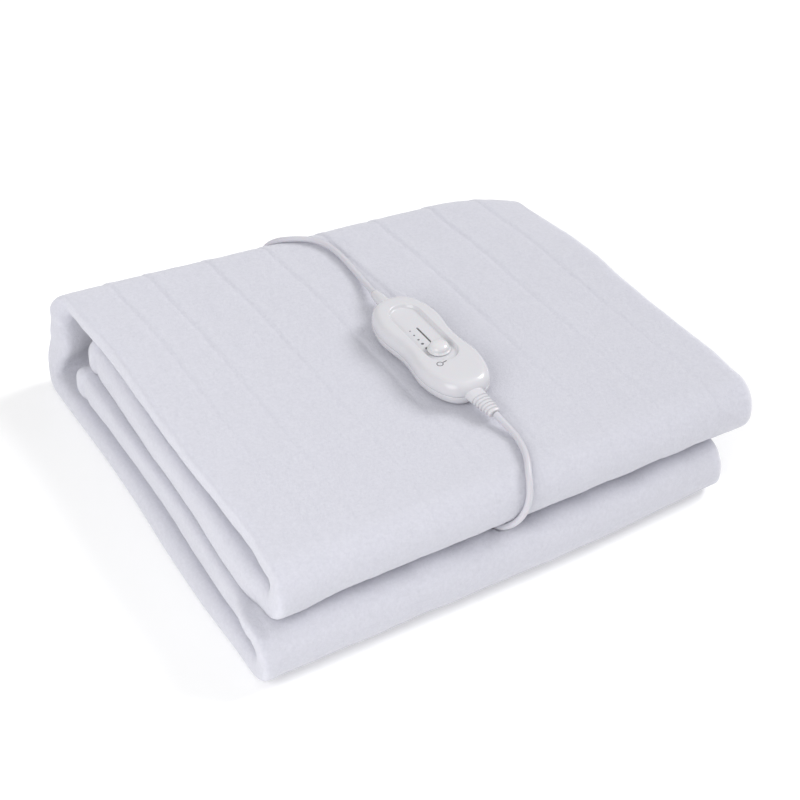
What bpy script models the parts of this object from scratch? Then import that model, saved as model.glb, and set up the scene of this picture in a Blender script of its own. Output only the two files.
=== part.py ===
"""Electric heated under-blanket, folded into a pack, with its slide controller and leads.

The blanket is one fleece sheet. It is folded in half along its length, so that the smooth fold
lies at the left end of the pack and the two free edges at its right end. The doubled strip is
then folded like a book cover whose ends are tucked in: upper flap, upper front loop, top layer,
back wall, bottom layer, lower front loop and lower flap. X runs along the front of the pack,
Y from front to back, Z up. The origin is on the floor under the middle of the pack. Metres.
"""
import math

import bmesh
import bpy
from mathutils import Matrix, Vector

MM = 0.001
GAP = 0.3 * MM                    # kept between pieces that touch

# ---- the cloth ------------------------------------------------------------------------------
PLY = 8.0 * MM                    # one thickness of the lofted fleece, wire inside
FOLD_GAP = 2.0 * MM               # air between the two plies of the doubled strip
LOOP_GAP = 1.5 * MM               # the same, drawn tight round the front loops
UPPER_FLAP_GAP = 6.0 * MM
LOWER_FLAP_GAP = 4.0 * MM
TOP_Z = 79.5 * MM                 # heights of the middle of each doubled layer
UPPER_FLAP_Z = 57.9 * MM
LOWER_FLAP_Z = 30.5 * MM
BOTTOM_Z = PLY + FOLD_GAP / 2
UPPER_LOOP_Y = -158.5 * MM        # where each layer starts to turn at the front
LOWER_LOOP_Y = -167.0 * MM
UPPER_LOOP_R = 12.5 * MM          # the front loops stand a little fuller than the flat layers
LOWER_LOOP_R = 12.0 * MM
BACK_TURN_Y = 168.0 * MM          # where the top and bottom layers turn into the back wall
BACK_TURN_R = 15.0 * MM
TOP_SIDE_Y = 80.0 * MM            # behind here the top layer's right edge draws in
UPPER_HEM_Y = 152.0 * MM          # ends of the two flaps
LOWER_HEM_Y = 155.0 * MM
HEM = 16.0 * MM                   # length of the turned hem on each flap
HEM_BEAD = 0.9 * MM               # how much thicker a ply is at its hem
HEM_TIP = 0.62                    # share of the ply's thickness left at the hem's round tip
RIB_HEIGHT = 1.1 * MM             # heating-wire channels, raised on the outer face
RIB_HALF_WIDTH = 5.0 * MM
RIB_OFFSETS = (38, 69, 119, 168, 218, 266, 315, 358)   # from the fold at the left end, in mm
FOLD_STEPS = 6                    # steps round the long fold at the left end
INNER_STATIONS = 8
INNER_SHORT = 4.0 * MM            # how much shorter the inner ply is at the right end
START_X = (-191.0, 204.0)         # left and right x of the strip at its upper hem, in mm

# ---- how the pack has settled ---------------------------------------------------------------
CORNER_DROP = 0.13                # share of its height that the back right corner loses
CORNER_Y = (20 * MM, 190 * MM)    # where from front to back that drop comes in
BACK_SLANT = 0.11                 # how far the back fold runs forward for each metre to the right
SLANT_PIVOT = -36.0 * MM          # where the slanting back fold has its neat place
SLANT_Y = (-60 * MM, 175 * MM)    # where from front to back the slant comes in
RIGHT_PULL = 20.0 * MM            # how far the back fold's right and left corners are drawn in
LEFT_PULL = 6.0 * MM
RIGHT_END = (130 * MM, 207 * MM)  # where the pack gives way at its two ends
LEFT_END = (-214 * MM, -172 * MM)
WAVE = 0.006                      # share of its height by which the cloth rolls up and down
WAVE_LENGTH = (47 * MM, 61 * MM)  # along X and along Y, for one radian
WAVE_PHASE = (1.1, -0.6)
STRAY = 1.2 * MM                  # how far the edges at the two ends stray along X
STRAY_LENGTH = (38 * MM, 17 * MM)                 # along Y and up Z, for one radian
STRAY_X = (120 * MM, 200 * MM)
CENTRE_SHIFT = (4.34 * MM, -9.95 * MM, 0.0)      # brings the origin under the pack's middle

# ---- the controller -------------------------------------------------------------------------
CONTROLLER_X = 10.5 * MM
CONTROLLER_Y = -26.0 * MM
CONTROLLER_Z = 91.1 * MM          # its underside, on the cloth
CONTROLLER_LENGTH = 126.0 * MM
END_WIDTH = 53.0 * MM
WAIST_WIDTH = 45.0 * MM
WAIST_REACH = 0.56                # share of the half length over which the waist widens
OUTLINE_POWER = 2.9               # squareness of the round ends
OUTLINE_STEPS = 56
LOWER_PROFILE = ((0.0, 4.2), (0.7, 2.2), (2.4, 0.8), (5.0, 0.2), (7.85, 0.0))   # height, inset, mm
UPPER_PROFILE = ((8.15, 0.0), (11.0, 0.3), (14.0, 1.1), (16.4, 2.7), (18.0, 5.2), (18.7, 8.6))
TOP_HEIGHT = 18.7 * MM
TRACK_Y = 9.0 * MM                # middle of the recess, from the controller's middle
TRACK_LENGTH = 77.0 * MM
TRACK_WIDTH = 25.0 * MM
TRACK_DEPTH = 2.6 * MM
TRACK_DRAFT = 1.4 * MM            # how much narrower the recess is at its floor, each side
CUT_SPARE = 1.0 * MM              # how far a cutter stands out of the face it cuts
SLOT_WIDTH = 3.0 * MM
SLOT_DEPTH = 5.5 * MM
SLOT_SPARE = 1.8 * MM             # left free at each end of the slot
KNOB_Y = -13.5 * MM               # shown at its near stop
KNOB_TRAVEL = 28.0 * MM
KNOB_RADIUS = 8.2 * MM
KNOB_HEIGHT = 6.4 * MM
KNOB_SIDES = 28
KNOB_PROFILE = ((0.0, 0.94), (0.12, 1.0), (0.42, 0.97), (0.66, 0.86), (0.84, 0.68), (0.96, 0.42),
                (1.0, 0.16))      # shares of the knob's height and of its radius
STEM_WIDTH = 2.2 * MM
STEM_LENGTH = 5.0 * MM
STEM_DEPTH = 4.0 * MM

# ---- the leads ------------------------------------------------------------------------------
CORD_D = 4.8 * MM
ROUTE_STEP = 10.0 * MM            # spacing of a lead's points
RELIEF_LENGTH = 23.0 * MM
RELIEF_BASE_R = 5.0 * MM
RELIEF_TIP_R = 3.3 * MM
RELIEF_Z = 8.2 * MM               # height of the reliefs' roots in the controller's ends
RELIEF_GAP = 0.7 * MM             # behind a root, because the reliefs leave at a slant
NEAR_HEADING, FAR_HEADING = -84, 84               # degrees, 0 is +X
RELIEF_SIDES = 14
RELIEF_DROP = 2.6 * MM            # how far a relief's tip hangs below its root
RINGS = 6                         # rings cut into a sleeve
RING_DEPTH = 0.9 * MM
RING_FIRST, RING_PITCH = 0.16, 0.13               # shares of the sleeve's length
RING_CUT = ((0.0, 0.0), (0.3, 1.0), (1.3, 1.0), (1.6, 0.0))    # along in mm, share of the depth
TIP_ROUND = 0.8 * MM
BLANKET_ROUTE = (                 # controller to blanket, from the near relief's tip, in mm
    (12.9, -112.8, 96.7), (14.1, -120.8, 94.6), (14.8, -129.0, 93.2), (14.5, -137.0, 92.7),
    (12.8, -146.0, 92.6), (10.0, -155.0, 92.6), (6.4, -163.4, 91.9), (2.6, -170.5, 89.8),
    (-0.6, -177.5, 84.0), (-3.6, -181.9, 75.9), (-7.0, -182.7, 66.5), (-11.0, -180.3, 57.4),
    (-15.4, -174.7, 49.7), (-19.6, -164.8, 45.2), (-22.3, -151.0, 44.4), (-23.6, -135.0, 44.4),
    (-24.4, -115.0, 44.3), (-25.2, -95.0, 44.3), (-26.8, -72.0, 44.4), (-30.0, -48.0, 44.4),
    (-34.6, -26.0, 44.4), (-38.0, -12.0, 44.3), (-38.0, 0.0, 44.3))
MAINS_ROUTE = (                   # controller to the coil behind the pack, in mm
    (12.9, 60.8, 96.7), (14.4, 70.0, 94.9), (15.9, 81.0, 93.3), (17.2, 94.0, 92.5),
    (18.2, 107.5, 92.1), (18.9, 120.0, 91.9), (18.9, 132.0, 91.8), (17.6, 143.0, 91.7),
    (14.2, 152.5, 91.6), (8.6, 160.5, 91.6), (1.6, 167.0, 91.2), (-5.4, 173.3, 90.0),
    (-11.6, 180.9, 86.6), (-16.4, 188.4, 79.8), (-20.0, 193.2, 69.7), (-23.4, 194.8, 56.0),
    (-27.4, 195.3, 41.0), (-32.6, 196.2, 26.5), (-41.0, 198.8, 12.8), (-51.0, 202.4, 5.2),
    (-63.5, 205.0, 2.9), (-75.2, 206.0, 2.7))
TAIL_ROUTE = (                    # coil to plug, in mm
    (-75.2, 260.4, 2.7), (-64.0, 259.4, 2.7), (-53.0, 255.2, 2.7), (-43.5, 248.4, 2.8),
    (-34.0, 240.2, 3.2), (-24.0, 233.2, 4.0), (-14.0, 229.2, 4.9), (-5.3, 228.0, 5.5))
COIL_CENTRE = (-95.0 * MM, 233.2 * MM)
COIL_R = 24.0 * MM                # to the middle of the turns
COIL_THICK = 14.6 * MM
COIL_Z = 1.5 * MM                 # its underside, held off the floor by the tie's strap
COIL_STEPS, COIL_SIDES = 32, 8
COIL_SQUARENESS = 0.6             # 1 for a round section, less for a squarer one
TIE_ANGLE = math.radians(200)
TIE_WIDTH = 6.0 * MM
TIE_CLEAR = 0.7 * MM              # room for the ring's curve inside the straight strap
TIE_STRAP = 0.8 * MM
INLET_LENGTH = 26.0 * MM          # moulded piece where the lead goes into the cloth
INLET_WIDTH = 15.0 * MM
INLET_THICK = 4.6 * MM
INLET_ROUND = 1.6 * MM
PLUG_X = 18.6 * MM                # near face of the plug's body
PLUG_Y = 228.0 * MM
PLUG_LENGTH = 34.0 * MM
PLUG_WIDTH = 25.0 * MM
PLUG_THICK = 14.0 * MM
PLUG_ROUND = 4.5 * MM
PLUG_TAPER = 0.9
PLUG_DROP = 1.5 * MM              # how far its sleeve's tip hangs below the root
BOX_ENDS = ((0.0, 0.93), (0.05, 1.0), (0.93, 1.0), (1.0, 0.93))   # shares of length and of section
PIN_D = 4.0 * MM
PIN_LENGTH = 19.0 * MM
PIN_TIP = 1.0 * MM
PIN_PITCH = 19.0 * MM

WHITE_FLEECE = ((0.84, 0.84, 0.88), 0.95, 0.0)     # colour, roughness, metallic
WHITE_PLASTIC = ((0.86, 0.86, 0.88), 0.28, 0.0)
WHITE_CORD = ((0.85, 0.85, 0.87), 0.45, 0.0)
NICKEL = ((0.72, 0.72, 0.70), 0.25, 1.0)


def clear_scene():
    for old in list(bpy.data.objects):
        bpy.data.objects.remove(old, do_unlink=True)


def material(name, finish):
    colour, roughness, metallic = finish
    made = bpy.data.materials.get(name) or bpy.data.materials.new(name)
    made.use_nodes = True
    shader = made.node_tree.nodes["Principled BSDF"]
    shader.inputs["Base Color"].default_value = (*colour, 1.0)
    shader.inputs["Roughness"].default_value = roughness
    shader.inputs["Metallic"].default_value = metallic
    return made


def add_object(name, bm, finish, place=(0, 0, 0)):
    """Turn a bmesh into a named object with its material, standing at a place."""
    bmesh.ops.recalc_face_normals(bm, faces=bm.faces)
    mesh = bpy.data.meshes.new(name)
    bm.to_mesh(mesh)
    bm.free()
    mesh.shade_smooth()
    mesh.set_sharp_from_angle(angle=math.radians(35))
    made = bpy.data.objects.new(name, mesh)
    made.location = place
    made.data.materials.append(material(name + "_finish", finish))
    bpy.context.scene.collection.objects.link(made)
    return made


def smooth_step(value, low, high):
    """0 below low, 1 above high, and a soft rise between them."""
    share = min(1.0, max(0.0, (value - low) / (high - low)))
    return share * share * (3 - 2 * share)


# ---- cloth ----------------------------------------------------------------------------------
def run(start, end, steps):
    """Points from start to end in the Y-Z plane, without the last one."""
    return [start + (end - start) * (step / steps) for step in range(steps)]


def turn(centre, radius, start_degrees, end_degrees, steps):
    """Points along an arc in the Y-Z plane, without the last one. 0 degrees is +Y, 90 is +Z."""
    points = []
    for step in range(steps):
        angle = math.radians(start_degrees + (end_degrees - start_degrees) * step / steps)
        points.append(centre + radius * Vector((math.cos(angle), math.sin(angle))))
    return points


def fold_sections():
    """The doubled strip's middle line, section by section, from the upper hem to the lower one.

    Columns: points, then at the section's end the strip's left x and right x in mm, the air
    between its plies, and the share of the ribs' height that shows there.
    """
    upper_loop = Vector((UPPER_LOOP_Y, (UPPER_FLAP_Z + TOP_Z) / 2))
    lower_loop = Vector((LOWER_LOOP_Y, BOTTOM_Z + LOWER_LOOP_R))
    top_turn = Vector((BACK_TURN_Y, TOP_Z - BACK_TURN_R))
    low_turn = Vector((BACK_TURN_Y, BOTTOM_Z + BACK_TURN_R))
    upper_hem = Vector((UPPER_HEM_Y, UPPER_FLAP_Z))
    lower_hem = Vector((LOWER_HEM_Y, LOWER_FLAP_Z))
    hem = Vector((HEM, 0))
    upper_mouth = upper_loop - Vector((0, UPPER_LOOP_R))
    lower_mouth = lower_loop + Vector((0, LOWER_LOOP_R))
    top_front = upper_loop + Vector((0, UPPER_LOOP_R))
    top_side = Vector((TOP_SIDE_Y, TOP_Z))
    top_back = Vector((BACK_TURN_Y, TOP_Z))
    wall_x = Vector((BACK_TURN_R, 0))
    floor_back = Vector((BACK_TURN_Y, BOTTOM_Z))
    floor_front = Vector((LOWER_LOOP_Y, BOTTOM_Z))
    return (
        (run(upper_hem, upper_hem - hem, 4), -194, 203, UPPER_FLAP_GAP, 0.0),
        (run(upper_hem - hem, upper_mouth, 4), -198, 193, LOOP_GAP, 0.2),
        (turn(upper_loop, UPPER_LOOP_R, 270, 90, 8), -191, 196, LOOP_GAP, 1.0),
        (run(top_front, top_side, 5), -192, 204, FOLD_GAP, 1.0),
        (run(top_side, top_back, 3), -193, 199, FOLD_GAP, 1.0),
        (turn(top_turn, BACK_TURN_R, 90, 0, 4), -200, 196, FOLD_GAP, 1.0),
        (run(top_turn + wall_x, low_turn + wall_x, 2), -209, 189, FOLD_GAP, 1.0),
        (turn(low_turn, BACK_TURN_R, 0, -90, 4), -212, 184, FOLD_GAP, 0.0),
        (run(floor_back, floor_front, 3), -213, 171, FOLD_GAP, 0.0),
        (turn(lower_loop, LOWER_LOOP_R, 270, 90, 8), -211, 169, LOOP_GAP, 0.3),
        (run(lower_mouth, lower_hem - hem, 4), -206, 176, LOWER_FLAP_GAP, 0.0),
        (run(lower_hem - hem, lower_hem, 4) + [lower_hem], -206, 177, LOWER_FLAP_GAP, 0.0),
    )


def hem_share(distance):
    """Thickness of a ply over its normal one, at a distance from the nearer hem's tip."""
    tip = 1 - (1 - HEM_TIP) * (1 - smooth_step(distance, 0, HEM / 4))
    bead = HEM_BEAD / PLY * (1 - smooth_step(distance, HEM / 2, HEM))
    return tip + bead


def path_stations():
    """One row for each point of the path: point, normal, left x, right x, air, ribs, ply."""
    rows = []
    left, right, air, ribs = *START_X, UPPER_FLAP_GAP, 0.0
    for points, end_left, end_right, end_air, end_ribs in fold_sections():
        for index, point in enumerate(points):
            share = smooth_step(index / len(points), 0, 1)
            rows.append([point, left + (end_left - left) * share, right + (end_right - right) * share,
                         air + (end_air - air) * share, ribs + (end_ribs - ribs) * share])
        left, right, air, ribs = end_left, end_right, end_air, end_ribs
    stations = []
    for index, (point, left, right, air, ribs) in enumerate(rows):
        before = rows[max(index - 1, 0)][0]
        after = rows[min(index + 1, len(rows) - 1)][0]
        along = (after - before).normalized()
        from_hem = min((point - rows[0][0]).length, (point - rows[-1][0]).length)
        ply = PLY * hem_share(from_hem)
        stations.append((point, Vector((-along.y, along.x)), left * MM, right * MM, air, ribs, ply))
    return stations


def section_stations(left, right):
    """Across the strip: (x, side, rib) from the outer ply's free edge, round the fold, and back.

    side is the angle round the long fold, from 90 degrees on the outer ply to 270 on the inner
    one; rib is 1 on the crest of a wire channel.
    """
    stations = [(right, 90, 0)]
    for offset in reversed(RIB_OFFSETS):
        crest = left + offset * MM
        stations += [(crest + RIB_HALF_WIDTH, 90, 0), (crest, 90, 1), (crest - RIB_HALF_WIDTH, 90, 0)]
    stations += [(None, 90 + 180 * step / FOLD_STEPS, 0) for step in range(FOLD_STEPS + 1)]
    inner_right = right - INNER_SHORT
    for step in range(1, INNER_STATIONS + 1):
        stations.append((left + (inner_right - left) * step / INNER_STATIONS, 270, 0))
    return stations


def settled(x, y, z):
    """Where a point of the neat fold comes to rest in the uneven pack. The floor stays flat."""
    at_right = max(0.0, (x - RIGHT_END[0]) / (RIGHT_END[1] - RIGHT_END[0])) ** 2
    at_left = 1 - smooth_step(x, *LEFT_END)
    wave = math.sin(x / WAVE_LENGTH[0] + WAVE_PHASE[0]) * math.cos(y / WAVE_LENGTH[1] + WAVE_PHASE[1])
    scale = 1 - CORNER_DROP * at_right * smooth_step(y, *CORNER_Y) + WAVE * wave
    stray = STRAY * math.sin(y / STRAY_LENGTH[0] + z / STRAY_LENGTH[1]) * smooth_step(abs(x), *STRAY_X)
    forward = BACK_SLANT * (x - SLANT_PIVOT) + RIGHT_PULL * at_right + LEFT_PULL * at_left
    return Vector((x + stray, y - forward * smooth_step(y, *SLANT_Y), z * scale))


def skins(station):
    """The outer and the inner skin of the doubled strip at one point of its path."""
    point, normal, left, right, air, ribs, ply = station
    middle = (ply + air) / 2
    fold_x = left + (PLY + air) / 2 + PLY / 2
    outer, inner = [], []
    for x, degrees, rib in section_stations(left, right):
        angle = math.radians(degrees)
        for skin, offset in ((outer, ply / 2 + rib * ribs * RIB_HEIGHT), (inner, -ply / 2)):
            radius = middle + offset
            lift = radius * math.sin(angle)
            place = x if x is not None else fold_x + radius * math.cos(angle)
            spot = point + normal * lift
            skin.append(settled(place, spot.x, spot.y))
    return outer, inner


def make_blanket():
    """The folded sheet as one closed solid: two skins, joined along all four free edges."""
    bm = bmesh.new()
    grid = []
    for station in path_stations():
        outer, inner = skins(station)
        grid.append([[bm.verts.new(spot) for spot in skin] for skin in (outer, inner)])
    across = len(grid[0][0])
    for near, far in zip(grid, grid[1:]):
        for skin in (0, 1):
            for index in range(across - 1):
                bm.faces.new((near[skin][index], near[skin][index + 1],
                              far[skin][index + 1], far[skin][index]))
        for edge in (0, across - 1):
            bm.faces.new((near[0][edge], far[0][edge], far[1][edge], near[1][edge]))
    for end in (grid[0], grid[-1]):
        for index in range(across - 1):
            bm.faces.new((end[0][index], end[1][index], end[1][index + 1], end[0][index + 1]))
    return add_object("blanket", bm, WHITE_FLEECE)


# ---- controller -----------------------------------------------------------------------------
def signed_power(value, power):
    return math.copysign(abs(value) ** power, value)


def outline(inset):
    """The controller's waisted outline, drawn in by an inset, as points about its middle."""
    points = []
    for step in range(OUTLINE_STEPS):
        angle = 2 * math.pi * step / OUTLINE_STEPS
        along = signed_power(math.cos(angle), 2 / OUTLINE_POWER)
        aside = signed_power(math.sin(angle), 2 / OUTLINE_POWER)
        widening = math.sin(min(1.0, abs(along) / WAIST_REACH) * math.pi / 2) ** 2
        width = (WAIST_WIDTH + (END_WIDTH - WAIST_WIDTH) * widening) / 2
        points.append((aside * (width - inset), along * (CONTROLLER_LENGTH / 2 - inset)))
    return points


def stadium(width, length, steps=10):
    """A slot's outline along Y, as points about its middle."""
    points = []
    radius, half = width / 2, (length - width) / 2
    for centre, start in ((half, 0), (-half, 180)):
        for step in range(steps + 1):
            angle = math.radians(start + 180 * step / steps)
            points.append((radius * math.cos(angle), centre + radius * math.sin(angle)))
    return points


def loft(rings):
    """A closed bmesh through rings of equal length, each a list of (x, y, z)."""
    bm = bmesh.new()
    made = [[bm.verts.new(spot) for spot in ring] for ring in rings]
    count = len(rings[0])
    for low, high in zip(made, made[1:]):
        for index in range(count):
            after = (index + 1) % count
            bm.faces.new((low[index], low[after], high[after], high[index]))
    bm.faces.new(made[0])
    bm.faces.new(made[-1])
    return bm


def prism(points, low, high):
    return loft([[(x, y, z) for x, y in points] for z in (low, high)])


def cut(target, name, bm, operation="DIFFERENCE"):
    """Cut a hidden shape out of the target, or join it on."""
    tool = add_object(name, bm, WHITE_PLASTIC, target.location)
    tool.hide_render = True
    tool.display_type = "WIRE"
    modifier = target.modifiers.new(name, "BOOLEAN")
    modifier.object = tool
    modifier.operation = operation
    modifier.solver = "EXACT"


def shell(name, profile):
    rings = [[(x, y, height * MM) for x, y in outline(inset * MM)] for height, inset in profile]
    return add_object(name, loft(rings), WHITE_PLASTIC, (CONTROLLER_X, CONTROLLER_Y, CONTROLLER_Z))


def make_controller():
    shell("controller_base", LOWER_PROFILE)
    top = shell("controller_top", UPPER_PROFILE)
    floor = TOP_HEIGHT - TRACK_DEPTH
    above = TOP_HEIGHT + CUT_SPARE
    slope = TRACK_DRAFT * (above - floor) / TRACK_DEPTH
    rings = []
    for z, wider in ((floor, 0.0), (above, slope)):
        spread = 2 * (wider - TRACK_DRAFT)
        points = stadium(TRACK_WIDTH + spread, TRACK_LENGTH + spread)
        rings.append([(x, y + TRACK_Y, z) for x, y in points])
    cut(top, "track_cutter", loft(rings))
    slot_length = KNOB_TRAVEL + STEM_LENGTH + 2 * SLOT_SPARE
    slot_middle = KNOB_Y + KNOB_TRAVEL / 2
    slot = [(x, y + slot_middle) for x, y in stadium(SLOT_WIDTH, slot_length, 6)]
    cut(top, "slot_cutter", prism(slot, floor - SLOT_DEPTH, floor + CUT_SPARE))


def make_knob():
    """The domed slider. Its origin is on the line along which it slides."""
    floor = TOP_HEIGHT - TRACK_DEPTH + GAP
    angles = [2 * math.pi * step / KNOB_SIDES for step in range(KNOB_SIDES)]
    rings = [[(share * KNOB_RADIUS * math.cos(angle), share * KNOB_RADIUS * math.sin(angle),
               height * KNOB_HEIGHT) for angle in angles] for height, share in KNOB_PROFILE]
    place = (CONTROLLER_X, CONTROLLER_Y + KNOB_Y, CONTROLLER_Z + floor)
    knob = add_object("slider_knob", loft(rings), WHITE_PLASTIC, place)
    half_width, half_length = STEM_WIDTH / 2, STEM_LENGTH / 2
    corners = ((half_width, -half_length), (half_width, half_length),
               (-half_width, half_length), (-half_width, -half_length))
    cut(knob, "knob_stem", prism(corners, -STEM_DEPTH, KNOB_HEIGHT / 2), "UNION")


# ---- strain reliefs, leads, coil and plug ---------------------------------------------------
def turned(profile, sides=RELIEF_SIDES):
    """A closed body turned about X from (distance, radius) pairs."""
    rings = []
    for along, radius in profile:
        rings.append([(along, radius * math.cos(2 * math.pi * step / sides),
                       radius * math.sin(2 * math.pi * step / sides)) for step in range(sides)])
    return loft(rings)


def relief_profile(ribbed):
    """A tapering sleeve, plain or with rings cut into it."""
    profile = [(0.0, RELIEF_BASE_R)]
    for ring in range(RINGS if ribbed else 0):
        start = RELIEF_LENGTH * (RING_FIRST + RING_PITCH * ring)
        radius = RELIEF_BASE_R + (RELIEF_TIP_R - RELIEF_BASE_R) * start / RELIEF_LENGTH
        profile += [(start + along * MM, radius - depth * RING_DEPTH) for along, depth in RING_CUT]
    profile.append((RELIEF_LENGTH - TIP_ROUND, RELIEF_TIP_R))
    profile.append((RELIEF_LENGTH, RELIEF_TIP_R - TIP_ROUND))
    return profile


def make_relief(name, root, direction, ribbed, drop=RELIEF_DROP):
    bm = turned(relief_profile(ribbed))
    pitch = Matrix.Rotation(math.asin(drop / RELIEF_LENGTH), 4, "Y")
    heading = Matrix.Rotation(math.radians(direction), 4, "Z")
    bmesh.ops.transform(bm, matrix=heading @ pitch, verts=bm.verts)
    add_object(name, bm, WHITE_PLASTIC, root)


def smooth_route(points):
    """Evenly spaced points along a smooth curve through a route's own points."""
    spots = [Vector(point) * MM for point in points]
    ends = [2 * spots[0] - spots[1]] + spots + [2 * spots[-1] - spots[-2]]
    fine = []
    for first, here, after, last in zip(ends, ends[1:], ends[2:], ends[3:]):
        for step in range(16):
            t = step / 16
            fine.append(0.5 * (2 * here + (after - first) * t
                               + (2 * first - 5 * here + 4 * after - last) * t * t
                               + (3 * here - first - 3 * after + last) * t ** 3))
    fine.append(spots[-1])
    travelled = [0.0]
    for before, here in zip(fine, fine[1:]):
        travelled.append(travelled[-1] + (here - before).length)
    count = max(2, round(travelled[-1] / ROUTE_STEP))
    even, index = [], 0
    for step in range(count + 1):
        wanted = travelled[-1] * step / count
        while index < len(fine) - 2 and travelled[index + 1] < wanted:
            index += 1
        share = (wanted - travelled[index]) / (travelled[index + 1] - travelled[index])
        even.append(fine[index].lerp(fine[index + 1], share))
    return even


def make_lead(name, route):
    """A round lead: a curve object with a bevel and filled ends."""
    data = bpy.data.curves.new(name, "CURVE")
    data.dimensions = "3D"
    data.bevel_depth = CORD_D / 2
    data.bevel_resolution = 2
    data.use_fill_caps = True
    points = smooth_route(route)
    spline = data.splines.new("POLY")
    spline.points.add(len(points) - 1)
    for spot, point in zip(spline.points, points):
        spot.co = (*point, 1.0)
    data.materials.append(material(name + "_finish", WHITE_CORD))
    bpy.context.scene.collection.objects.link(bpy.data.objects.new(name, data))


def make_coil():
    """The wound length: one turned ring with a rounded square section."""
    half = COIL_THICK / 2
    section = []
    for side in range(COIL_SIDES):
        angle = 2 * math.pi * side / COIL_SIDES
        section.append((signed_power(math.cos(angle), COIL_SQUARENESS) * half,
                        signed_power(math.sin(angle), COIL_SQUARENESS) * half))
    bm = bmesh.new()
    rings = []
    for step in range(COIL_STEPS):
        angle = 2 * math.pi * step / COIL_STEPS
        rings.append([bm.verts.new(((COIL_R + out) * math.cos(angle), (COIL_R + out) * math.sin(angle),
                                    half + up)) for out, up in section])
    for index, ring in enumerate(rings):
        after = rings[(index + 1) % COIL_STEPS]
        for side in range(COIL_SIDES):
            other = (side + 1) % COIL_SIDES
            bm.faces.new((ring[side], ring[other], after[other], after[side]))
    add_object("cord_coil", bm, WHITE_CORD, (*COIL_CENTRE, COIL_Z))


def make_tie():
    """A strap round the coil's turns."""
    inner = COIL_THICK / 2 + TIE_CLEAR
    outer = inner + TIE_STRAP
    bm = bmesh.new()
    loops = []
    for half in (inner, outer):
        for side in (-TIE_WIDTH / 2, TIE_WIDTH / 2):
            loops.append([bm.verts.new((x * half, side, z * half))
                          for x, z in ((1, 1), (-1, 1), (-1, -1), (1, -1))])
    for low, high in ((loops[0], loops[1]), (loops[2], loops[3]), (loops[0], loops[2]), (loops[1], loops[3])):
        for index in range(4):
            after = (index + 1) % 4
            bm.faces.new((low[index], low[after], high[after], high[index]))
    heading = Matrix.Rotation(TIE_ANGLE, 4, "Z")
    bmesh.ops.transform(bm, matrix=heading, verts=bm.verts)
    place = (COIL_CENTRE[0] + COIL_R * math.cos(TIE_ANGLE), COIL_CENTRE[1] + COIL_R * math.sin(TIE_ANGLE),
             COIL_Z + COIL_THICK / 2)
    add_object("coil_tie", bm, WHITE_PLASTIC, place)


def rounded_box(length, width, thick, radius, taper=1.0, steps=4):
    """A box along X with round edges along its length; its far end is scaled by taper."""
    ring = []
    for quarter, (y_side, z_side) in enumerate(((1, 1), (-1, 1), (-1, -1), (1, -1))):
        for step in range(steps + 1):
            angle = math.radians(90 * quarter + 90 * step / steps)
            ring.append((y_side * (width / 2 - radius) + radius * math.cos(angle),
                         z_side * (thick / 2 - radius) + radius * math.sin(angle)))
    rings = []
    for along, share in BOX_ENDS:
        size = share * (1 + (taper - 1) * along)
        rings.append([(along * length, y * size, z * size) for y, z in ring])
    return loft(rings)


def make_inlet():
    """The moulded piece through which the lead enters the cloth, between the two flaps."""
    last = Vector(BLANKET_ROUTE[-1]) * MM
    bm = rounded_box(INLET_LENGTH, INLET_WIDTH, INLET_THICK, INLET_ROUND)
    bmesh.ops.transform(bm, matrix=Matrix.Rotation(math.radians(90), 4, "Z"), verts=bm.verts)
    add_object("lead_inlet", bm, WHITE_PLASTIC, (last.x, last.y + GAP, last.z))


def make_plug():
    """A plain two-pin plug lying behind the pack, with the sleeve on its lead."""
    z = PLUG_THICK / 2
    body = rounded_box(PLUG_LENGTH, PLUG_WIDTH, PLUG_THICK, PLUG_ROUND, PLUG_TAPER)
    add_object("plug_body", body, WHITE_PLASTIC, (PLUG_X, PLUG_Y, z))
    profile = ((0.0, PIN_D / 2), (PIN_LENGTH - PIN_TIP, PIN_D / 2), (PIN_LENGTH, PIN_D / 2 - PIN_TIP))
    for name, side in (("plug_pin_left", 1), ("plug_pin_right", -1)):
        place = (PLUG_X + PLUG_LENGTH + GAP, PLUG_Y + side * PIN_PITCH / 2, z)
        add_object(name, turned(profile), NICKEL, place)
    make_relief("plug_relief", (PLUG_X - GAP, PLUG_Y, z), 180, True, PLUG_DROP)


def make_reliefs():
    root_z = CONTROLLER_Z + RELIEF_Z
    half = CONTROLLER_LENGTH / 2 + RELIEF_GAP
    make_relief("relief_near", (CONTROLLER_X, CONTROLLER_Y - half, root_z), NEAR_HEADING, True)
    make_relief("relief_far", (CONTROLLER_X, CONTROLLER_Y + half, root_z), FAR_HEADING, False)


def main():
    clear_scene()
    make_blanket()
    make_controller()
    make_knob()
    make_reliefs()
    make_lead("blanket_lead", BLANKET_ROUTE)
    make_inlet()
    make_lead("mains_lead", MAINS_ROUTE)
    make_coil()
    make_tie()
    make_lead("plug_lead", TAIL_ROUTE)
    make_plug()
    for made in bpy.data.objects:
        made.location += Vector(CENTRE_SHIFT)


main()
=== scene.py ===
# %% [markdown]
# # A folded heated blanket
#
# The object is a white fleece under-blanket, folded into a thick pack, with its slide controller and its
# leads lying on top. The solids that carry its size and weight were made beforehand, and this lesson
# dresses them: it lays finer cloth over the folds, models the controller with rounded plastic, winds the
# spare lead into a coil, and lights everything like a product picture.

# %% Load the solids
import math

import bmesh
import bpy
from mathutils import Matrix, Vector, noise


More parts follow.
